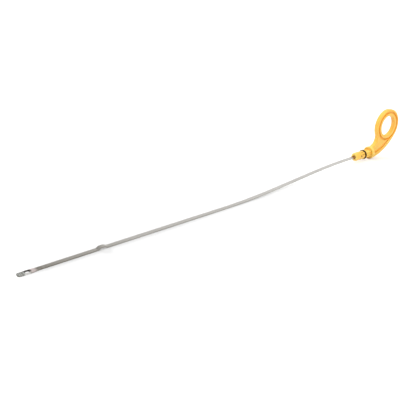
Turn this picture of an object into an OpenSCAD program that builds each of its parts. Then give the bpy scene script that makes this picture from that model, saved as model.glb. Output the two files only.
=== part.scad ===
// Engine oil dipstick: a steel blade moulded into a plastic handle, with a rubber seal on its barrel.
// The axis of the barrel is the X axis. The blade runs to -X, the finger ring stands up at +X.
// The origin is the middle of the plain barrel, and the part lies on the plane z = floor_z.

/* [Blade] */
// Length of the blade from its tip to the nose of the barrel
blade_free = 446; // [400:1:480]
// Width of the strip
blade_w = 4.6; // [4:0.1:5]
// Thickness of the strip
blade_t = 1.2; // [0.9:0.1:1.4]
// Length of the tang inside the handle
tang_len = 19; // [12:0.5:22]
// Hole through the tang, filled by the moulding
tang_hole_d = 2.2; // [1.6:0.1:2.6]
// Distance from the nose of the barrel to the tang hole
tang_hole_in = 8; // [6:0.5:10]

/* [Blade tip] */
// Width of the flattened tip
tip_w = 6.4; // [5.8:0.1:7.5]
// Thickness of the flattened tip
tip_t = 1; // [0.7:0.05:1.1]
// Length of the tip at its full width
tip_len = 12.6; // [12:0.2:16]
// Length of the taper from the tip to the strip
tip_taper = 7.6; // [5:0.2:10]
// Corner radius at the end of the tip
tip_corner = 2.2; // [1:0.1:2.7]
// Hole through the tip
tip_hole_d = 4.6; // [3:0.1:4.8]
// Distance from the end of the tip to the hole's centre
tip_hole_in = 9.2; // [8:0.1:9.8]
// Diameter of the punched dimple on the tip
dimple_d = 1.7; // [1:0.1:2]
// Depth of the dimple
dimple_depth = 0.3; // [0.1:0.05:0.4]
// Distance from the end of the tip to the dimple's centre
dimple_in = 4.2; // [3.4:0.1:4.8]

/* [Kink] */
// Distance from the tip to the foot of the kink
kink_in = 75.5; // [60:0.5:90]
// Length of the kink's steep side
kink_rise_len = 4.2; // [3:0.2:6]
// Length of the kink's flat top
kink_flat_len = 2.4; // [0.4:0.2:4]
// Length of the kink's gentle side
kink_fall_len = 5.6; // [5:0.2:10]
// Height of the kink above the strip
kink_h = 1.7; // [1:0.1:2.4]

/* [Blade sweep] */
// Length over which the blade rises from the floor to the barrel
rise_len = 220; // [140:5:260]
// Sideways set of the blade's straight run from the barrel's axis
sweep = 8.5; // [0:0.5:12]
// Length over which that sideways set is taken up
sweep_len = 225; // [140:5:260]

/* [Barrel] */
// Diameter of the barrel that fills the tube
plug_d = 10.5; // [10:0.1:12]
// Length of the plain barrel
plug_len = 14.3; // [12:0.1:16]
// Rounding of the barrel's nose
nose_round = 1.5; // [1:0.1:2.4]
// Diameter of the pocket round the blade in the nose
entry_d = 5.2; // [4.8:0.1:5.2]
// Depth of that pocket
entry_depth = 1.2; // [0.6:0.1:2]
// Number of slots in the barrel's rear edge
slot_count = 8; // [6:1:10]
// Width of each slot
slot_w = 1.3; // [0.8:0.1:1.6]
// Length of each slot
slot_len = 2; // [1:0.1:2.6]
// Depth of each slot
slot_depth = 0.9; // [0.4:0.1:0.9]

/* [Seal] */
// Diameter at the bottom of the seal groove
groove_d = 8.4; // [8:0.1:9]
// Width of the seal groove
groove_w = 2.7; // [2.4:0.1:3.2]
// Thickness of the seal ring's section
seal_cord = 2.1; // [1.9:0.05:2.3]
// How much the section is squashed flat against the groove
seal_squash = 0.12; // [0.05:0.01:0.2]

/* [Neck] */
// Length of the land behind the seal groove
land_len = 1.5; // [1:0.1:2]
// Length of the cored neck between that land and the stop face
neck_len = 7.8; // [6:0.2:10]
// Diameter of the neck's core
neck_core_d = 7.8; // [7:0.1:8.4]
// Width of the four ribs on the neck
neck_rib_w = 1.9; // [1.2:0.1:2.4]

/* [Stop flange] */
// Diameter of the stop flange
flange_d = 16.2; // [15:0.2:18]
// Thickness of the stop flange
flange_t = 4; // [3.6:0.1:5]
// Depth of the cup in the flange's front
cup_depth = 1.1; // [0.6:0.1:1.6]
// Wall of the cup
cup_wall = 1.3; // [1:0.1:1.8]
// Rounding of the flange's edges
flange_round = 0.5; // [0.3:0.05:0.6]

/* [Finger ring] */
// Distance of the ring's centre behind the stop face
ring_out = 32.2; // [30:0.2:35]
// Height of the ring's centre above the barrel's axis
ring_up = 30.8; // [29:0.2:34]
// Outer diameter of the ring
ring_d = 43; // [41:0.2:45]
// Diameter of the finger hole
hole_d = 25.8; // [23:0.2:26.4]
// Thickness of the bead round the finger hole, across the ring
bead_t = 5.8; // [5:0.1:7]
// Rounding of the finger hole's edges
bead_round = 1.1; // [0.6:0.1:1.2]

/* [Rim and grooves] */
// Width of the rim along the handle's outline
rim_w = 3.3; // [2.6:0.1:3.6]
// Thickness of the rim, across the handle
rim_t = 5.8; // [5.4:0.1:6.6]
// Rounding of the rim's outer edges
rim_round = 1.2; // [0.6:0.1:1.3]
// Width of the grooves inside the rim
line_w = 1.4; // [1:0.1:1.8]
// Rounding of the edges along the grooves
line_round = 0.4; // [0.2:0.1:0.5]
// Distance from the handle's edge to the middle of the groove along the spine
spine_line_in = 5.6; // [5:0.1:6.4]
// Thickness left between the grooves of the two sides
core_t = 3; // [2.4:0.1:3.8]
// Thickness of the stem inside the rim
stem_t = 5.4; // [4.6:0.1:5.4]
// Direction from the ring's centre in which the spine leaves the ring
spine_deg = -34; // [-45:1:-30]
// Margin between the stem's edges and the flange's edge
stem_margin = 0.4; // [0.2:0.1:1]

/* [Hidden] */
$fn = 64;

// How far a cutting solid runs past what it cuts
past = 1;
// Steps along each curved stretch of the blade
kink_steps = 6;
rise_steps = 18;
taper_steps = 8;

// Chamfer of the barrel's edges
barrel_edge = 0.35;
// How far the throat's rim dips into the ring's, and how much narrower and thinner it is
throat_dip = 0.12;
throat_less = 0.2;
// How far the ring's rim, and the stem's plate under it, run on past the throat
rim_past_deg = 16;
plate_past_deg = 10;
// How far below the spine's start the plate starts, where the rims have parted from it
plate_below_deg = 12;
// Play between the stem's plate and the inside of the ring's rim
plate_play = 0.15;

// Places along the barrel's axis
nose_x = -plug_len / 2 - nose_round;
plug_end = plug_len / 2;
groove_end = plug_end + groove_w;
neck_start = groove_end + land_len;
stop_x = neck_start + neck_len;
cup_floor = stop_x + cup_depth;
flange_back = stop_x + flange_t;
// The stem starts in the middle of the flange's floor
stem_x = (cup_floor + flange_back) / 2;

// The flange rests on the floor, and so does the straight run of the blade
floor_z = -flange_d / 2;
run_z = floor_z + blade_t / 2;
tip_x = nose_x - blade_free;
rise_from = blade_free - rise_len;
sweep_from = blade_free - sweep_len;
kink_top = kink_in + kink_rise_len;
kink_flat_end = kink_top + kink_flat_len;
taper_end = tip_len + tip_taper;

groove_r = groove_d / 2;
seal_r = groove_r + seal_cord / 2 - seal_squash;

// Centre of the finger ring, and the two arcs that lead from it to the flange
ring_r = ring_d / 2;
line_r = ring_r - rim_w;
bead_r = line_r - line_w;
ring_c = [stop_x + ring_out, ring_up];
stem_top = flange_d / 2 - stem_margin;
dip_r = ring_r - throat_dip;
// The throat is a hollow arc that dips into the ring and ends level with the flange's top edge
throat_dx = ring_c[0] - stem_x;
throat_dz = ring_c[1] - stem_top;
throat_r = (throat_dx * throat_dx + throat_dz * throat_dz - dip_r * dip_r) / (2 * (throat_dz + dip_r));
throat_c = [stem_x, stem_top + throat_r];
throat_deg = atan2(ring_c[1] - throat_c[1], ring_c[0] - throat_c[0]);
// The spine is a wide arc, tangent to the ring inside and ending at the flange's lower edge
spine_dir = [cos(spine_deg), sin(spine_deg)];
spine_foot = [stem_x, -stem_top];
spine_gap = spine_foot - ring_c;
spine_along = spine_gap * spine_dir;
spine_far = spine_gap * spine_gap + ring_r * ring_r;
spine_fit = (spine_far - 2 * ring_r * spine_along) / (2 * (ring_r - spine_along));
spine_r = round(10 * spine_fit) / 10;
spine_c = ring_c - (spine_r - ring_r) * spine_dir;
spine_start = atan2(spine_foot[1] - spine_c[1], spine_foot[0] - spine_c[0]);
// Directions from the ring's centre in which its rim and the stem's plate end
ring_rim_deg = throat_deg + 180 + rim_past_deg;
stem_top_deg = throat_deg + 180 + plate_past_deg;
stem_end_deg = spine_deg - plate_below_deg;

// A smooth step from 0 to 1 as u goes from 0 to 1
function ease(u) = (1 - cos(180 * min(max(u, 0), 1))) / 2;

// Height, side set, half width and top of the strip at the distance s from its tip
function kink_up(s) = ease((s - kink_in) / kink_rise_len);
function kink_down(s) = ease((s - kink_flat_end) / kink_fall_len);
function kink_z(s) = kink_h * (kink_up(s) - kink_down(s));
function blade_z(s) = run_z + kink_z(s) - run_z * ease((s - rise_from) / rise_len);
function blade_y(s) = -sweep * (1 - ease((s - sweep_from) / sweep_len));
function half_w(s) = tip_w / 2 + (blade_w - tip_w) / 2 * ease((s - tip_len) / tip_taper);
function top_t(s) = tip_t + (blade_t - tip_t) * min(max((s - tip_len) / tip_taper, 0), 1) - blade_t / 2;
function slope(s) = atan((blade_z(s + 0.01) - blade_z(s - 0.01)) / 0.02);
function off_line(s, d) = [tip_x + s - d * sin(slope(s)), blade_z(s) + d * cos(slope(s))];

function steps(from, len, n) = [for (i = [0:n]) from + len * i / n];
side_stations = concat(
    [0, tip_len, taper_end],
    steps(kink_in, kink_rise_len, kink_steps),
    steps(kink_flat_end, kink_fall_len, kink_steps),
    steps(rise_from, rise_len, rise_steps),
    [blade_free + tang_len]
);
sweep_stations = concat(
    [tip_corner],
    steps(tip_len, tip_taper, taper_steps),
    steps(sweep_from, sweep_len, rise_steps),
    [blade_free + tang_len]
);

// The strip seen from the side: its centre line, thickened
module blade_side() {
    over = [for (s = side_stations) off_line(s, top_t(s))];
    under = [for (i = [len(side_stations) - 1:-1:0]) off_line(side_stations[i], -blade_t / 2)];
    rotate([90, 0, 0])
        linear_extrude(height = 2 * (tip_w + sweep), center = true)
            polygon(concat(over, under));
}

// The strip seen from above: the round-cornered tip, its taper and the sideways sweep
module blade_plan(h) {
    far = [for (s = sweep_stations) [tip_x + s, blade_y(s) + half_w(s)]];
    near = [for (i = [len(sweep_stations) - 1:-1:0])
        [tip_x + sweep_stations[i], blade_y(sweep_stations[i]) - half_w(sweep_stations[i])]];
    linear_extrude(height = h)
        polygon(concat(far, near));
    translate([tip_x, -sweep - tip_w / 2 + tip_corner, 0])
        cube([2 * tip_corner, tip_w - 2 * tip_corner, h]);
    for (side = [-1, 1])
        translate([tip_x + tip_corner, -sweep + side * (tip_w / 2 - tip_corner), 0])
            cylinder(r = tip_corner, h = h);
}

module blade() {
    color([0.66, 0.65, 0.62])
    difference() {
        intersection() {
            blade_side();
            translate([0, 0, floor_z - past])
                blade_plan(blade_t - floor_z + kink_h + 2 * past);
        }
        translate([tip_x + tip_hole_in, -sweep, floor_z - past])
            cylinder(d = tip_hole_d, h = blade_t + 2 * past);
        translate([tip_x + dimple_in, -sweep, floor_z + tip_t - dimple_depth])
            cylinder(d = dimple_d, h = blade_t);
        translate([nose_x + tang_hole_in, 0, -blade_t])
            cylinder(d = tang_hole_d, h = 2 * blade_t);
    }
}

// A turned solid along the X axis, from pairs of place and radius, with its children joined to the outline
module turned(pairs) {
    rotate([0, 90, 0])
        rotate_extrude() {
            polygon([for (p = pairs) [p[1], p[0]]]);
            children();
        }
}

// The rounded nose, the plain barrel, the seal groove and the core of the neck
module barrel() {
    r = plug_d / 2;
    edge = barrel_edge;
    turned([
        [nose_x, 0], [nose_x, r - nose_round], [-plug_len / 2, r - nose_round],
        [-plug_len / 2, r], [plug_end - edge / 2, r], [plug_end, r - edge / 2],
        [plug_end, groove_r], [groove_end, groove_r],
        [groove_end, r - edge / 2], [groove_end + edge / 2, r],
        [neck_start, r], [neck_start, neck_core_d / 2],
        [cup_floor + past / 2, neck_core_d / 2], [cup_floor + past / 2, 0]
    ])
        translate([r - nose_round, -plug_len / 2])
            circle(r = nose_round);
}

module neck_ribs() {
    intersection() {
        turned([[neck_start - land_len / 2, 0], [neck_start - land_len / 2, plug_d / 2],
            [cup_floor + past / 2, plug_d / 2], [cup_floor + past / 2, 0]]);
        union() {
            for (turn = [45, 135])
                rotate([turn, 0, 0])
                    translate([neck_start - land_len / 2, -neck_rib_w / 2, -plug_d])
                        cube([neck_len + cup_depth + land_len, neck_rib_w, 2 * plug_d]);
        }
    }
}

// The stop flange, cupped at the front so that its rim meets the end of the tube
module flange() {
    r = flange_d / 2;
    e = flange_round;
    turned([
        [cup_floor, 0], [cup_floor, r - cup_wall], [stop_x, r - cup_wall], [stop_x, r - e],
        [stop_x + e, r], [flange_back - 2 * e, r], [flange_back - e / 2, r - e], [flange_back, r - 3 * e],
        [flange_back, 0]
    ]);
}

// A bar's section from x = -w to x = 0, with its outer corners rounded by ro and its inner ones by ri
module bar_section(w, t, ro, ri) {
    h = t / 2;
    translate([-w + ri, -h])
        square([w - ri - ro, t]);
    translate([-w, -h + ri])
        square([ri + past / 10, t - 2 * ri]);
    translate([-ro - past / 10, -h + ro])
        square([ro + past / 10, t - 2 * ro]);
    for (side = [-1, 1]) {
        translate([-ro, side * (h - ro)])
            circle(r = ro);
        translate([-w + ri, side * (h - ri)])
            circle(r = ri);
    }
}

module rim_section() {
    bar_section(rim_w, rim_t, rim_round, line_round);
}

// Stands its children up in the handle's plane, at the ring's centre and turned to a direction
module at_ring(direction) {
    rotate([90, 0, 0])
        translate([ring_c[0], ring_c[1], 0])
            rotate([0, 0, direction])
                children();
}

// The rim follows the outline: up the spine, round the ring and down the throat
module rims() {
    at_ring(spine_deg) {
        translate([ring_r - spine_r, 0, 0])
            mirror([0, 1, 0])
                rotate_extrude(angle = spine_deg - spine_start)
                    translate([spine_r, 0])
                        rim_section();
        rotate_extrude(angle = ring_rim_deg - spine_deg)
            translate([ring_r, 0])
                rim_section();
    }
    at_ring(throat_deg + 180)
        translate([dip_r + throat_r, 0, 0])
            mirror([1, 0, 0])
                rotate_extrude(angle = throat_deg + 90)
                    translate([throat_r, 0])
                        mirror([1, 0])
                            bar_section(rim_w - throat_less, rim_t - throat_less, rim_round, line_round);
}

// The stem's outline between spine and throat, from the ring's centre in two directions to the flange
module stem_outline(from_deg, to_deg) {
    reach = ring_c + (ring_r + rim_w) * [cos(to_deg), sin(to_deg)];
    difference() {
        intersection() {
            translate(spine_c)
                circle(r = spine_r - rim_w / 2);
            polygon([
                [stem_x, spine_foot[1] - rim_w], [stem_x, throat_c[1]],
                ring_c + dip_r * [cos(from_deg), sin(from_deg)],
                ring_c, reach, [reach[0], spine_foot[1] - rim_w]
            ]);
        }
        translate(throat_c)
            circle(r = throat_r + rim_w / 2);
    }
}

// The core fills stem and ring out to the rim, and is the floor of the grooves
module core() {
    rotate([90, 0, 0])
        linear_extrude(height = core_t, center = true) {
            stem_outline(stem_top_deg, spine_deg);
            translate(ring_c)
                circle(r = ring_r - rim_w / 2);
        }
}

// The stem's plate, with a groove along the spine that runs out into the one round the bead
module stem_plate() {
    rotate([90, 0, 0])
        linear_extrude(height = stem_t, center = true)
            difference() {
                stem_outline(stem_top_deg, stem_end_deg);
                translate(ring_c)
                    circle(r = line_r + plate_play);
                translate(spine_c)
                    difference() {
                        circle(r = spine_r - spine_line_in + line_w / 2);
                        circle(r = spine_r - spine_line_in - line_w / 2);
                    }
            }
}

// The raised bead round the finger hole
module bead() {
    at_ring(0)
        rotate_extrude()
            translate([bead_r, 0])
                bar_section(bead_r - hole_d / 2, bead_t, line_round, bead_round);
}

// The slot that the blade's tang fills, with the plug of plastic that locks it
module tang_slot() {
    difference() {
        translate([nose_x - past, -blade_w / 2, -blade_t / 2])
            cube([tang_len + past, blade_w, blade_t]);
        translate([nose_x + tang_hole_in, 0, -blade_t])
            cylinder(d = tang_hole_d, h = 2 * blade_t);
    }
}

module handle() {
    color([1, 0.78, 0.38])
    difference() {
        union() {
            barrel();
            neck_ribs();
            flange();
            core();
            stem_plate();
            rims();
            bead();
        }
        translate([ring_c[0], 0, ring_c[1]])
            rotate([90, 0, 0])
                cylinder(d = hole_d, h = 2 * bead_t, center = true);
        tang_slot();
        translate([nose_x - past, 0, 0])
            rotate([0, 90, 0])
                cylinder(d = entry_d, h = entry_depth + past);
        for (i = [0:slot_count - 1])
            rotate([360 * (i + 0.5) / slot_count, 0, 0])
                translate([plug_end - slot_len, -slot_w / 2, plug_d / 2 - slot_depth])
                    cube([slot_len + groove_w / 2, slot_w, 2 * slot_depth]);
    }
}

module seal_ring() {
    color([0.09, 0.09, 0.09])
    translate([plug_end + groove_w / 2, 0, 0])
        rotate([0, 90, 0])
            rotate_extrude()
                intersection() {
                    translate([seal_r, 0])
                        circle(d = seal_cord);
                    translate([groove_r, -seal_cord])
                        square([2 * seal_cord, 2 * seal_cord]);
                }
}

blade();
handle();
seal_ring();
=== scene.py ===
"""An engine oil dipstick on a white floor: a steel strip, a moulded plastic handle and a rubber seal ring."""

import math

import bpy
from mathutils import Matrix, Vector


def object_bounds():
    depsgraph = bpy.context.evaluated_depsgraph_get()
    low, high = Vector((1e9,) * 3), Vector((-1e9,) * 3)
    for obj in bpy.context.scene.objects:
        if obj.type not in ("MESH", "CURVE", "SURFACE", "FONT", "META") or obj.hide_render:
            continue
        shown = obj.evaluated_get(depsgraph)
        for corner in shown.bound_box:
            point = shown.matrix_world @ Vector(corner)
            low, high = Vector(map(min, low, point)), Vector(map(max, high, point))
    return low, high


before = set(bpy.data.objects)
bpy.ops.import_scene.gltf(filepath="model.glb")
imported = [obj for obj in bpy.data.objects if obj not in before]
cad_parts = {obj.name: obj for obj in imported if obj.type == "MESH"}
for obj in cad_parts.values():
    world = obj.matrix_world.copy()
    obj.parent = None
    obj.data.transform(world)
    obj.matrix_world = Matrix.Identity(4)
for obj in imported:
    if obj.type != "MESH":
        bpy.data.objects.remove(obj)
cad_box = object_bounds()

MM = 0.001


def mm(*lengths):
    """Lengths in mm as a tuple of metres."""
    return tuple(length * MM for length in lengths)


def rgb(r, g, b):
    """A colour from 0 to 255 as seen on screen, as linear numbers."""
    out = []
    for v in (r, g, b):
        v = v / 255.0
        out.append(v / 12.92 if v <= 0.04045 else ((v + 0.055) / 1.055) ** 2.4)
    return (*out, 1.0)


# Places on the object: X runs from the blade's tip towards the ring and Z is up

# The low corner of the object's box: the tip's end, the tip's near edge and the floor
TIP_X, TIP_EDGE_Y, FLOOR_Z = cad_box[0]
TIP_W = 6.4 * MM
# Centre and radius of the tip's hole, in plan
HOLE = (TIP_X + 9.2 * MM, TIP_EDGE_Y + TIP_W / 2.0)
HOLE_R = 2.3 * MM
# The end of the barrel's nose and the back of the stop flange, along X
NOSE_X = -8.65 * MM
FLANGE_BACK = 23.15 * MM
BARREL_R = 5.25 * MM
# The centre of the finger ring and that of the arc along the spine, in the plane of X and Z, each with the
# radius of its groove
RING = mm(51.35, 30.8)
RING_GROOVE_R = 17.5 * MM
SPINE = mm(19.27, 52.44)
SPINE_GROOVE_R = 54.6 * MM


# The camera

# Place in mm; heading from +X towards +Y, downward tilt and clockwise roll in radians; focal length in pixels
CAM_PLACE = (-596.02, -456.59, 252.34)
CAM_YAW = 0.9125
CAM_PITCH = 0.4209
CAM_ROLL = 0.0019
CAM_FOCAL_PX = 600.0
FRAME_PX = 416.0
SENSOR_MM = 36.0
# The nearest and the furthest that the camera sees, in metres
CAM_CLIP = (0.01, 50.0)


def make_camera():
    """The photograph's camera: columns of its matrix are right, up and minus forward."""
    forward = Vector((math.cos(CAM_YAW) * math.cos(CAM_PITCH), math.sin(CAM_YAW) * math.cos(CAM_PITCH),
                      -math.sin(CAM_PITCH)))
    level = Vector((math.sin(CAM_YAW), -math.cos(CAM_YAW), 0.0))
    upright = level.cross(forward)
    right = level * math.cos(CAM_ROLL) - upright * math.sin(CAM_ROLL)
    up = upright * math.cos(CAM_ROLL) + level * math.sin(CAM_ROLL)
    data = bpy.data.cameras.new("camera")
    data.sensor_width = SENSOR_MM
    data.sensor_fit = "HORIZONTAL"
    data.lens = CAM_FOCAL_PX / FRAME_PX * SENSOR_MM
    data.clip_start, data.clip_end = CAM_CLIP
    obj = bpy.data.objects.new("camera", data)
    bpy.context.scene.collection.objects.link(obj)
    turn = Matrix((right, up, -forward)).transposed().to_4x4()
    obj.matrix_world = Matrix.Translation(Vector(CAM_PLACE) * MM) @ turn
    bpy.context.scene.camera = obj


# Node helpers

class Nodes:
    """Short ways to add nodes to one tree and to link them."""

    def __init__(self, tree):
        self.tree = tree

    def add(self, kind, **settings):
        node = self.tree.nodes.new(kind)
        for key, value in settings.items():
            setattr(node, key, value)
        return node

    def put(self, value, socket):
        """Links value to socket if it is a socket, and sets it as the socket's number or colour if not."""
        if isinstance(value, bpy.types.NodeSocket):
            self.tree.links.new(value, socket)
        elif value is not None:
            socket.default_value = value

    def put_named(self, node, **values):
        """Puts each value on the node's input of that name."""
        for key, value in values.items():
            self.put(value, node.inputs[key])

    # Numbers and masks

    def math(self, op, a, b=None):
        node = self.add("ShaderNodeMath", operation=op)
        for value, socket in zip((a, b), node.inputs):
            self.put(value, socket)
        return node.outputs[0]

    def remap(self, value, low, high, to_low=0.0, to_high=1.0):
        """Carries the range low to high over to the range to_low to to_high, and stops at its ends."""
        node = self.add("ShaderNodeMapRange", clamp=True)
        for key, item in zip(("Value", "From Min", "From Max", "To Min", "To Max"),
                             (value, low, high, to_low, to_high)):
            self.put(item, node.inputs[key])
        return node.outputs[0]

    def fade(self, value, low, high):
        """A mask that is 1 below low and 0 above high."""
        return self.remap(value, low, high, 1.0, 0.0)

    def rest(self, mask):
        """What a mask leaves out."""
        return self.math("SUBTRACT", 1.0, mask)

    def both(self, a, b):
        """Two masks or numbers multiplied."""
        return self.math("MULTIPLY", a, b)

    def most(self, a, b):
        """The greater of two masks."""
        return self.math("MAXIMUM", a, b)

    def blend(self, mask, a, b):
        """The number a where the mask is 0 and b where it is 1."""
        return self.math("ADD", self.both(mask, self.math("SUBTRACT", b, a)), a)

    def gap(self, value, place):
        """How far value is from place, either way."""
        return self.math("ABSOLUTE", self.math("SUBTRACT", value, place))

    def distance(self, a, b, centre):
        """How far the point (a, b) is from centre, in a plane."""
        da = self.math("SUBTRACT", a, centre[0])
        db = self.math("SUBTRACT", b, centre[1])
        return self.math("SQRT", self.math("ADD", self.both(da, da), self.both(db, db)))

    def blot(self, vector, centre, radius):
        """A soft round blot at centre that fades out at radius."""
        node = self.add("ShaderNodeVectorMath", operation="DISTANCE")
        self.put(vector, node.inputs[0])
        self.put(centre, node.inputs[1])
        return self.fade(node.outputs["Value"], 0.6 * radius, radius)

    # Places and patterns

    def place(self):
        """The object's own coordinates, in metres."""
        return self.add("ShaderNodeTexCoord").outputs["Object"]

    def split(self, vector):
        """The three parts of a vector."""
        node = self.add("ShaderNodeSeparateXYZ")
        self.put(vector, node.inputs[0])
        return node.outputs

    def facing(self):
        """The three parts of the direction in which a face points."""
        return self.split(self.add("ShaderNodeNewGeometry").outputs["True Normal"])

    def stretch(self, vector, scale):
        node = self.add("ShaderNodeMapping")
        self.put_named(node, Vector=vector, Scale=scale)
        return node.outputs[0]

    def noise(self, vector, scale, detail, rough, distortion=0.0):
        node = self.add("ShaderNodeTexNoise")
        self.put_named(node, Vector=vector, Scale=scale, Detail=detail, Roughness=rough,
                       Distortion=distortion)
        return node.outputs[0]

    def group(self, tree, **values):
        """A shared node group, placed here with its own values; returns its outputs."""
        node = self.add("ShaderNodeGroup", node_tree=tree)
        self.put_named(node, **values)
        return node.outputs

    # Colours and relief

    def mix(self, factor, a, b):
        """The colour a where the factor is 0 and b where it is 1."""
        node = self.add("ShaderNodeMix", data_type="RGBA")
        self.put(factor, node.inputs[0])
        self.put(a, node.inputs[6])
        self.put(b, node.inputs[7])
        return node.outputs[2]

    def tint(self, base, mask, colour, share):
        """The base colour, with this share of another colour where the mask is 1."""
        return self.mix(self.both(mask, share), base, colour)

    def bump(self, height, strength, distance):
        node = self.add("ShaderNodeBump")
        self.put_named(node, Strength=strength, Distance=distance, Height=height)
        return node.outputs[0]


def empty_nodes(owner):
    """Turns on the nodes of a material or a world and clears them; returns the helper for them."""
    owner.use_nodes = True
    owner.node_tree.nodes.clear()
    return Nodes(owner.node_tree)


def new_material(name):
    """A material with only an output and a Principled shader; returns it, its helper and the shader."""
    mat = bpy.data.materials.new(name)
    n = empty_nodes(mat)
    out = n.add("ShaderNodeOutputMaterial")
    shader = n.add("ShaderNodeBsdfPrincipled")
    n.put(shader.outputs[0], out.inputs["Surface"])
    return mat, n, shader


# Effects that several materials share

NUMBER = "NodeSocketFloat"
VECTOR = "NodeSocketVector"


def new_group(name, inputs, outputs):
    """An empty node group with these sockets; returns it, its helper and its input and output nodes."""
    tree = bpy.data.node_groups.new(name, "ShaderNodeTree")
    for key, kind in inputs.items():
        tree.interface.new_socket(key, in_out="INPUT", socket_type=kind)
    for key, kind in outputs.items():
        tree.interface.new_socket(key, in_out="OUTPUT", socket_type=kind)
    n = Nodes(tree)
    return tree, n, n.add("NodeGroupInput").outputs, n.add("NodeGroupOutput").inputs


def spots_group():
    """Small separate spots: the high parts of a noise, from the threshold Low up to Low plus 0.1."""
    tree, n, given, result = new_group("spots", {"Vector": VECTOR, "Scale": NUMBER, "Low": NUMBER},
                                       {"Mask": NUMBER})
    cells = n.noise(given["Vector"], given["Scale"], detail=3.0, rough=0.6)
    n.put(n.remap(cells, given["Low"], n.math("ADD", given["Low"], 0.1)), result["Mask"])
    return tree


def skin_group():
    """The fine uneven skin of a moulding: a noise as a mask, and the normal that it bumps by Depth metres."""
    tree, n, given, result = new_group("moulded_skin", {"Vector": VECTOR, "Scale": NUMBER, "Depth": NUMBER},
                                       {"Mask": NUMBER, "Normal": VECTOR})
    grain = n.noise(given["Vector"], given["Scale"], detail=3.0, rough=0.6)
    n.put(n.remap(grain, 0.3, 0.7), result["Mask"])
    n.put(n.bump(grain, strength=0.5, distance=given["Depth"]), result["Normal"])
    return tree


# The blade

STEEL_PALE = rgb(213, 211, 206)
STEEL_GREY = rgb(197, 194, 189)
BRIGHT_LINE = rgb(232, 231, 227)
OIL_STAIN = rgb(140, 133, 120)
SCORCH = rgb(112, 104, 90)
SCALE_DARK = rgb(124, 124, 118)
SCALE_PALE = rgb(226, 229, 224)
# Painted highlight on the ramp past the tip's hole, where its slope catches the light
RAMP_HIGHLIGHT = rgb(238, 224, 221)
# Painted shade in the tip's hole, on its far side
HOLE_SHADE = rgb(48, 38, 36)
# Painted shade on the blade's slit edges, stronger where the oil stain is
EDGE_SHADE = rgb(84, 76, 64)
# Painted highlight on the near rim of the tip's hole
RIM_HIGHLIGHT = rgb(240, 239, 236)
# Painted shade on the blade where it goes into the barrel's nose
ENTRY_SHADE = rgb(146, 96, 30)
STEEL_SPECK = rgb(120, 104, 84)


def from_tip(start, end):
    """Two places along X, given in mm from the tip's end."""
    return TIP_X + start * MM, TIP_X + end * MM


# Each finish, painted highlight and painted shade fades in or out between two places along X
SCALE_ENDS = from_tip(7.15, 8.15)
RAMP_STARTS = from_tip(11.65, 12.65)
RAMP_ENDS = from_tip(15.65, 18.15)
SCORCH_ENDS = from_tip(18.65, 42.65)
HEAVY_STAIN_ENDS = from_tip(54.65, 114.65)
LIGHT_STAIN_ENDS = from_tip(184.65, 284.65)
# Where the painted shade at the barrel's nose begins
ENTRY_SHADE_STARTS = (NOSE_X - 6.0 * MM, NOSE_X - 3.5 * MM)
# The length over which the clouds push the stain's end to and fro
STAIN_RAGGED = 60.0 * MM
# The strength of the stain's heavy part and of its light part, which add up to all of it
HEAVY_STAIN = 0.66
LIGHT_STAIN = 0.34
# Repeats per metre along X, Y and Z of the rolled lines and of the clouds
LINE_STRETCH = (60.0, 2600.0, 2600.0)
CLOUD_STRETCH = (30.0, 120.0, 120.0)
LINE_DEPTH = 0.04 * MM
# The part of each noise's range that goes from none to all of its effect
LINE_RANGE = (0.3, 0.7)
CLOUD_RANGE = (0.35, 0.7)
FLAKE_RANGE = (0.42, 0.6)
# How level a face is, from 0 on a slit edge to 1 on top, where the painted shade on the edges ends
EDGE_SHADE_ENDS = (0.5, 0.9)
STEEL_ROUGH = (0.26, 0.4)
# The painted shade in the tip's hole: how far it reaches from the hole's centre, the slope of its near
# border, and the width over which that border fades
HOLE_SHADE_REACH = (1.5 * HOLE_R, 1.9 * HOLE_R)
HOLE_SHADE_SLOPE = 0.35
HOLE_SHADE_BORDER = mm(0.0, 0.8)
# The painted highlight on the hole's near rim, from the hole's centre: where it ends across the blade, its
# middle along X and its half length
RIM_HIGHLIGHT_BORDER = mm(-1.6, -0.8)
RIM_HIGHLIGHT_MIDDLE = -0.5 * MM
RIM_HIGHLIGHT_HALF = mm(2.0, 3.4)


def stain_mask(n, along, clouds):
    """The oil stain: two thirds of it fade out in the blade's first quarter, and the rest in its middle."""
    reach = n.math("ADD", along, n.both(n.math("SUBTRACT", clouds, 0.5), STAIN_RAGGED))
    heavy = n.remap(reach, *HEAVY_STAIN_ENDS, HEAVY_STAIN, 0.0)
    light = n.remap(reach, *LIGHT_STAIN_ENDS, LIGHT_STAIN, 0.0)
    return n.math("ADD", heavy, light)


def tip_colours(n, base, coords, along, spots):
    """Scorched patches near the tip, mottled scale from its end to its hole, and a pale painted highlight on
    the ramp past that.
    """
    patches = n.group(spots, Vector=coords, Scale=260.0, Low=0.46)["Mask"]
    base = n.tint(base, n.fade(along, *SCORCH_ENDS), SCORCH, share=n.remap(patches, 0.0, 1.0, 0.12, 0.5))
    flakes = n.noise(coords, scale=900.0, detail=3.0, rough=0.6, distortion=0.8)
    mottled = n.mix(n.remap(flakes, *FLAKE_RANGE), SCALE_DARK, SCALE_PALE)
    base = n.tint(base, n.fade(along, *SCALE_ENDS), mottled, share=0.85)
    # A pale painted highlight on the ramp
    ramp = n.both(n.remap(along, *RAMP_STARTS), n.fade(along, *RAMP_ENDS))
    return n.tint(base, ramp, RAMP_HIGHLIGHT, share=0.9)


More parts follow.
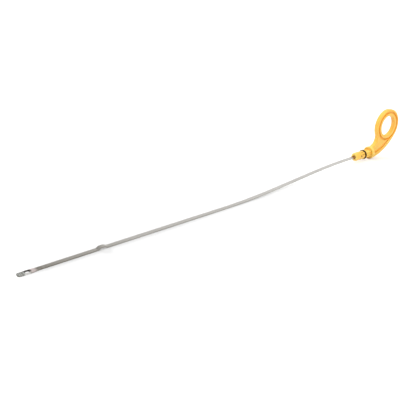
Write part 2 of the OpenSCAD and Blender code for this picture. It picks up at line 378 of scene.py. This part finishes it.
def hole_masks(n, along, across):
    """Painted shade on the far side of the tip's hole, and a bright painted highlight on its near rim."""
    hole_x = n.math("SUBTRACT", along, HOLE[0])
    hole_y = n.math("SUBTRACT", across, HOLE[1])
    beyond = n.math("ADD", hole_y, n.both(hole_x, HOLE_SHADE_SLOPE))
    hole_shade = n.both(n.fade(n.distance(along, across, HOLE), *HOLE_SHADE_REACH), n.remap(beyond, *HOLE_SHADE_BORDER))
    rim_highlight = n.both(n.fade(hole_y, *RIM_HIGHLIGHT_BORDER), n.fade(n.gap(hole_x, RIM_HIGHLIGHT_MIDDLE), *RIM_HIGHLIGHT_HALF))
    return hole_shade, rim_highlight


def steel_material(spots):
    """Rolled spring steel: fine lines along X, faint clouds and specks, a brown-grey oil stain that fades
    from the tip towards the handle, painted shade on the slit edges, the tip's own colours, painted
    highlights on its ramp and on its hole's near rim, painted shade in that hole and painted shade where the
    blade enters the barrel.
    Where the shade is painted the steel is also rougher and less metallic."""
    mat, n, shader = new_material("steel")
    coords = n.place()
    along, across, _ = n.split(coords)
    lines = n.noise(n.stretch(coords, LINE_STRETCH), scale=1.0, detail=4.0, rough=0.6)
    clouds = n.noise(n.stretch(coords, CLOUD_STRETCH), scale=1.0, detail=4.0, rough=0.6, distortion=0.4)
    specks = n.group(spots, Vector=coords, Scale=1500.0, Low=0.62)["Mask"]
    stain = stain_mask(n, along, clouds)
    hole_shade, rim_highlight = hole_masks(n, along, across)
    sides = n.fade(n.math("ABSOLUTE", n.facing()[2]), *EDGE_SHADE_ENDS)
    shaded_edge = n.both(sides, n.rest(rim_highlight))
    browned = n.remap(along, *ENTRY_SHADE_STARTS)
    base = n.mix(n.remap(clouds, *CLOUD_RANGE), STEEL_PALE, STEEL_GREY)
    base = n.tint(base, n.remap(lines, *LINE_RANGE), BRIGHT_LINE, share=0.35)
    base = n.tint(base, stain, OIL_STAIN, share=0.52)
    base = tip_colours(n, base, coords, along, spots)
    # Painted shade in the tip's hole
    base = n.tint(base, hole_shade, HOLE_SHADE, share=0.94)
    # Painted shade on the slit edges
    base = n.tint(base, shaded_edge, EDGE_SHADE, share=n.remap(stain, 0.0, 1.0, 0.2, 0.5))
    # Painted highlight on the hole's near rim
    base = n.tint(base, rim_highlight, RIM_HIGHLIGHT, share=0.65)
    # Painted shade where the blade enters the barrel
    base = n.tint(base, browned, ENTRY_SHADE, share=0.95)
    base = n.tint(base, specks, STEEL_SPECK, share=0.35)
    n.put(base, shader.inputs["Base Color"])
    # The painted shade also makes the steel rougher and less metallic
    dull = n.most(n.most(shaded_edge, hole_shade), browned)
    n.put(n.rest(n.most(n.both(dull, 0.7), browned)), shader.inputs["Metallic"])
    rough = n.math("ADD", n.remap(lines, *LINE_RANGE, *STEEL_ROUGH), n.both(clouds, 0.08))
    n.put(n.math("ADD", rough, n.both(dull, 0.25)), shader.inputs["Roughness"])
    n.put(n.bump(lines, strength=0.25, distance=LINE_DEPTH), shader.inputs["Normal"])
    return mat


# The handle

PLASTIC_DEEP = rgb(251, 195, 76)
PLASTIC_PALE = rgb(252, 204, 89)
SCUFFED = rgb(240, 172, 66)
# Painted shade along the grooves
GROOVE_SHADE = rgb(246, 165, 22)
# Painted shade on the ring's inner wall where it faces the barrel
RING_WALL_SHADE = rgb(246, 168, 60)
# Painted highlight on the barrel's nose
NOSE_HIGHLIGHT = rgb(255, 226, 124)
# Painted highlight on the neck and the flange
NECK_HIGHLIGHT = rgb(255, 217, 112)
# Painted shade in the hollows, an orange
HOLLOW_SHADE = rgb(255, 186, 24)
# Brown painted shade in the deepest hollows
DEEP_HOLLOW_SHADE = rgb(140, 84, 26)
# Brown painted shade at the flange's foot, near the floor
FOOT_SHADE = rgb(168, 98, 30)
# Painted shade for the dark marks on the barrel
MARK_SHADE = rgb(124, 74, 14)

# Each region and each painted shade or highlight fades in or out between two places: along X, up, or out from
# the centre of the ring
GRIP_STARTS = (FLANGE_BACK, FLANGE_BACK + 1.5 * MM)
NOSE_HIGHLIGHT_ENDS = (NOSE_X, NOSE_X + 1.5 * MM)
NECK_HIGHLIGHT_STARTS = mm(9.0, 12.0)
FOOT_SHADE_STARTS = mm(14.0, 17.0)
FOOT_SHADE_TOP = mm(-7.0, -4.5)
RING_WALL_SHADE_ENDS = mm(13.6, 15.6)
# The painted shade, a deeper orange, along each groove: the radius of its middle, and how far it reaches to
# both sides
RING_BAND_R = RING_GROOVE_R + 0.6 * MM
RING_BAND = mm(0.9, 1.8)
SPINE_BAND_R = SPINE_GROOVE_R - 1.0 * MM
SPINE_BAND = mm(0.8, 2.2)
# The band along the spine is left out on the ring's bead
BEAD_ENDS = (RING_GROOVE_R - 1.0 * MM, RING_GROOVE_R)
# How far the search for nearby walls reaches, and the shares of open sky between which the painted shade in a
# hollow fades out
HOLLOW_REACH = 2.4 * MM
HOLLOW = (0.35, 0.72)
DEEP_HOLLOW = (0.1, 0.36)
# How far a face of the ring's wall points along X, from -1 towards the barrel, where its painted shade ends
WALL_FACING_ENDS = (-0.9, -0.3)
# Repeats per metre of the flow clouds, and the part of their range that goes from the deeper to the paler
# orange
FLOW_STRETCH = (60.0, 60.0, 60.0)
FLOW_RANGE = (0.3, 0.7)
# How many times shorter the scuffs are along X, Y and Z
SCUFF_STRETCH = (1.0, 1.0, 2.2)
PLASTIC_ROUGH = (0.3, 0.38)
# Dark marks of painted shade on the barrel, standing for shadowed slots: place along X in mm, degrees up from
# its near side, radius in mm and strength
SHADE_MARKS = [(0.1, 8.0, 1.45, 1.0), (3.0, 58.0, 1.1, 0.8), (3.2, 28.0, 1.0, 0.8)]


def groove_shade_mask(n, along, height, from_ring):
    """The band along the groove round the ring's bead and, outside the bead, that along the spine, where the
    grooves' shade is painted.
    """
    by_ring = n.fade(n.gap(from_ring, RING_BAND_R), *RING_BAND)
    from_spine = n.gap(n.distance(along, height, SPINE), SPINE_BAND_R)
    by_spine = n.both(n.fade(from_spine, *SPINE_BAND), n.remap(from_ring, *BEAD_ENDS))
    return n.most(by_ring, by_spine)


def open_sky(n):
    """The share of sky that nearby walls leave open: 1 on a bare face and near 0 in a deep hollow."""
    node = n.add("ShaderNodeAmbientOcclusion", samples=8)
    n.put_named(node, Distance=HOLLOW_REACH)
    return node.outputs["AO"]


def add_shade_marks(n, base, coords):
    """Round dark marks of painted shade on the near side of the barrel, standing for shadowed slots."""
    for x, degrees, radius, share in SHADE_MARKS:
        turn = math.radians(degrees)
        centre = (x * MM, -BARREL_R * math.cos(turn), BARREL_R * math.sin(turn))
        base = n.tint(base, n.blot(coords, centre, radius * MM), MARK_SHADE, share=share)
    return base


def plastic_colour(n, coords, scuff):
    """The handle's colour: faint flow clouds and scuffs; painted shade, a deeper orange, along the grooves,
    in the hollows and on the ring's inner wall where it faces the barrel; a pale painted highlight on the
    nose, neck and flange; and brown painted shade in the deepest hollows in front of the grip, at the
    flange's foot and in the marks on the barrel."""
    along, _, height = n.split(coords)
    sky = open_sky(n)
    grip = n.remap(along, *GRIP_STARTS)
    plug = n.rest(grip)
    from_ring = n.distance(along, height, RING)
    flow = n.noise(n.stretch(coords, FLOW_STRETCH), scale=1.0, detail=3.0, rough=0.5, distortion=0.8)
    base = n.mix(n.remap(flow, *FLOW_RANGE), PLASTIC_DEEP, PLASTIC_PALE)
    base = n.tint(base, scuff, SCUFFED, share=0.18)
    # Painted shade along the grooves
    groove_shade = n.both(groove_shade_mask(n, along, height, from_ring), grip)
    base = n.tint(base, groove_shade, GROOVE_SHADE, share=0.85)
    # Painted shade on the ring's inner wall where it faces the barrel
    wall = n.both(n.fade(from_ring, *RING_WALL_SHADE_ENDS), n.fade(n.facing()[0], *WALL_FACING_ENDS))
    base = n.tint(base, wall, RING_WALL_SHADE, share=0.45)
    # Painted highlight on the nose
    base = n.tint(base, n.fade(along, *NOSE_HIGHLIGHT_ENDS), NOSE_HIGHLIGHT, share=0.7)
    # Painted highlight on the neck and the flange
    base = n.tint(base, n.both(n.remap(along, *NECK_HIGHLIGHT_STARTS), plug), NECK_HIGHLIGHT, share=0.8)
    # Painted shade in the hollows, from the share of open sky
    base = n.tint(base, n.fade(sky, *HOLLOW), HOLLOW_SHADE, share=n.remap(grip, 0.0, 1.0, 0.15, 0.8))
    # Brown painted shade in the deepest hollows in front of the grip
    base = n.tint(base, n.remap(sky, *DEEP_HOLLOW, 0.3, 0.0), DEEP_HOLLOW_SHADE, share=plug)
    # Brown painted shade at the flange's foot
    foot = n.both(n.fade(height, *FOOT_SHADE_TOP), n.remap(along, *FOOT_SHADE_STARTS))
    base = n.tint(base, foot, FOOT_SHADE, share=n.both(plug, 0.65))
    # The dark marks are painted shade standing for shadowed slots
    return add_shade_marks(n, base, coords)


def plastic_material(skin, spots):
    """Light orange moulded plastic with a hint of light passing through and a fine moulded skin, rougher
    where it is scuffed."""
    mat, n, shader = new_material("plastic")
    coords = n.place()
    fine = n.group(skin, Vector=coords, Scale=2600.0, Depth=0.012 * MM)
    scuff = n.group(spots, Vector=n.stretch(coords, SCUFF_STRETCH), Scale=400.0, Low=0.58)["Mask"]
    n.put(plastic_colour(n, coords, scuff), shader.inputs["Base Color"])
    shader.inputs["IOR"].default_value = 1.5
    shader.inputs["Subsurface Weight"].default_value = 0.15
    shader.inputs["Subsurface Radius"].default_value = (1.0, 0.5, 0.15)
    shader.inputs["Subsurface Scale"].default_value = 1.5 * MM
    rough = n.remap(fine["Mask"], 0.0, 1.0, *PLASTIC_ROUGH)
    n.put(n.math("ADD", rough, n.both(scuff, 0.12)), shader.inputs["Roughness"])
    n.put(fine["Normal"], shader.inputs["Normal"])
    return mat


# The seal ring

RUBBER_DARK = rgb(56, 39, 14)
RUBBER_BROWN = rgb(82, 59, 24)
DUST = rgb(100, 78, 44)
RUBBER_ROUGH = (0.42, 0.58)


def rubber_material(skin, spots):
    """Black rubber, brown in the light, with a dull oily skin and a few dusty specks."""
    mat, n, shader = new_material("rubber")
    coords = n.place()
    fine = n.group(skin, Vector=coords, Scale=2200.0, Depth=0.016 * MM)
    dust = n.group(spots, Vector=coords, Scale=900.0, Low=0.6)["Mask"]
    base = n.mix(fine["Mask"], RUBBER_DARK, RUBBER_BROWN)
    n.put(n.tint(base, dust, DUST, share=0.4), shader.inputs["Base Color"])
    shader.inputs["Specular IOR Level"].default_value = 0.2
    n.put(n.remap(fine["Mask"], 0.0, 1.0, *RUBBER_ROUGH), shader.inputs["Roughness"])
    n.put(fine["Normal"], shader.inputs["Normal"])
    return mat


# The floor

# Half the floor's side in metres, and its grey
FLOOR_HALF = 6.0
FLOOR_GREY = 0.66
# The floor's own glow: beside the blade, elsewhere near the object, and what the horizon adds
GLOW_LEAST = 0.03
GLOW_MOST = 0.34
GLOW_FAR = 0.5
# Where the glow changes, in metres: along X towards the handle and past the tip, to both sides of the blade,
# and from the barrel to the horizon
GLOW_TO_HANDLE = (-0.3, -0.02)
GLOW_PAST_TIP = (-0.47, -0.43)
GLOW_ASIDE = (0.02, 0.12)
GLOW_HORIZON = (1.0, 3.0)


def floor_material():
    """A pale grey floor with a glow of its own that only the camera and reflections see, so that it looks
    white and keeps the object's shadow. The glow is least beside the blade, where the shadow is clearest,
    stronger round the handle, to the sides and past the tip, and strongest towards the horizon."""
    mat = bpy.data.materials.new("floor")
    n = empty_nodes(mat)
    out = n.add("ShaderNodeOutputMaterial")
    diffuse = n.add("ShaderNodeBsdfDiffuse")
    n.put_named(diffuse, Color=(FLOOR_GREY, FLOOR_GREY, FLOOR_GREY, 1.0))
    glow = n.add("ShaderNodeEmission")
    path = n.add("ShaderNodeLightPath").outputs
    seen = n.most(path["Is Camera Ray"], n.most(path["Is Glossy Ray"], path["Is Transmission Ray"]))
    along, across, _ = n.split(n.place())
    aside = n.remap(n.gap(across, HOLE[1]), *GLOW_ASIDE)
    lift = n.most(n.most(n.remap(along, *GLOW_TO_HANDLE), aside), n.fade(along, *GLOW_PAST_TIP))
    horizon = n.remap(n.distance(along, across, (0.0, 0.0)), *GLOW_HORIZON, 0.0, GLOW_FAR)
    strength = n.math("ADD", n.remap(lift, 0.0, 1.0, GLOW_LEAST, GLOW_MOST), horizon)
    n.put_named(glow, Strength=n.both(seen, strength))
    add = n.add("ShaderNodeAddShader")
    n.put(diffuse.outputs[0], add.inputs[0])
    n.put(glow.outputs[0], add.inputs[1])
    n.put(add.outputs[0], out.inputs["Surface"])
    return mat


def make_floor():
    """One large square at the floor's height, with its middle under the barrel."""
    half = FLOOR_HALF
    corners = [(-half, -half, FLOOR_Z), (half, -half, FLOOR_Z), (half, half, FLOOR_Z), (-half, half, FLOOR_Z)]
    mesh = bpy.data.meshes.new("floor")
    mesh.from_pydata(corners, [], [(0, 1, 2, 3)])
    mesh.materials.append(floor_material())
    obj = bpy.data.objects.new("floor", mesh)
    bpy.context.scene.collection.objects.link(obj)
    return obj


# The lamps

# Each lamp's name, place, target and side in metres, its power in watts, and whether it lights only the floor
LAMPS = [
    ("key", (-1.1, 1.3, 1.9), (-0.1, 0.0, 0.0), 2.2, 24.0, False),
    ("low back", (-0.9, 2.6, 0.6), (-0.25, 0.0, 0.0), 0.6, 90.0, True),
    ("fill", (-0.3, -1.8, 1.3), (0.0, 0.0, 0.0), 1.8, 14.0, False),
]


def area_lamp(name, place, target, size, power, lit):
    """A square lamp at place that faces target and isn't seen in mirrors. It lights everything, or only the
    object lit, on which all the others still throw their shadows."""
    data = bpy.data.lights.new(name, "AREA")
    data.shape = "SQUARE"
    data.size = size
    data.energy = power
    obj = bpy.data.objects.new(name, data)
    obj.visible_glossy = False
    if lit:
        only = bpy.data.collections.new("lit by the " + name + " lamp")
        only.objects.link(lit)
        obj.light_linking.receiver_collection = only
    bpy.context.scene.collection.objects.link(obj)
    look = (Vector(target) - Vector(place)).to_track_quat("-Z", "Y")
    obj.matrix_world = Matrix.Translation(Vector(place)) @ look.to_matrix().to_4x4()


# The light tent

# Its brightness at the horizon and overhead
TENT_SIDE = 0.5
TENT_TOP = 1.1
# Its brightness in mirrors, towards +X and to both sides of that, and the share left from +Y round to -X
MIRROR_AHEAD = 1.05
MIRROR_ASIDE = 0.72
MIRROR_BEHIND = 0.7
# Headings in radians from +X towards +Y, between which the mirrored brightness rises from the side of -Y,
# falls on the side of +Y, and falls again
HEADING_RISE = (-0.5, 0.1)
HEADING_FALL = (0.55, 1.3)
HEADING_BEHIND = (1.3, 1.7)


def make_world():
    """A light tent, brighter overhead than at the horizon. The camera sees it as plain white, and in mirrors
    it is brightest towards +X, dimmer towards -Y, and dimmest from +Y round to -X."""
    world = bpy.data.worlds.new("world")
    bpy.context.scene.world = world
    n = empty_nodes(world)
    out = n.add("ShaderNodeOutputWorld")
    back = n.add("ShaderNodeBackground")
    path = n.add("ShaderNodeLightPath").outputs
    x, y, up = n.split(n.add("ShaderNodeTexCoord").outputs["Generated"])
    tent = n.remap(up, 0.0, 1.0, TENT_SIDE, TENT_TOP)
    heading = n.math("ARCTAN2", y, x)
    mirror = n.remap(heading, *HEADING_FALL, MIRROR_AHEAD, MIRROR_ASIDE)
    mirror = n.both(mirror, n.remap(heading, *HEADING_BEHIND, 1.0, MIRROR_BEHIND))
    mirror = n.math("MINIMUM", mirror, n.remap(heading, *HEADING_RISE, MIRROR_ASIDE, MIRROR_AHEAD))
    level = n.blend(path["Is Glossy Ray"], tent, mirror)
    n.put_named(back, Color=(1.0, 1.0, 1.0, 1.0), Strength=n.blend(path["Is Camera Ray"], level, 1.0))
    n.put(back.outputs[0], out.inputs["Surface"])


# The whole scene

make_camera()
make_world()
floor = make_floor()
for name, place, target, size, power, floor_only in LAMPS:
    area_lamp(name, place, target, size, power, floor if floor_only else None)

skin, spots = skin_group(), spots_group()
looks = {"blade": steel_material(spots), "handle": plastic_material(skin, spots),
         "seal_ring": rubber_material(skin, spots)}
for name, mat in looks.items():
    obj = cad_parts[name]
    obj.data.materials.clear()
    obj.data.materials.append(mat)

bpy.context.scene.view_settings.view_transform = "Standard"
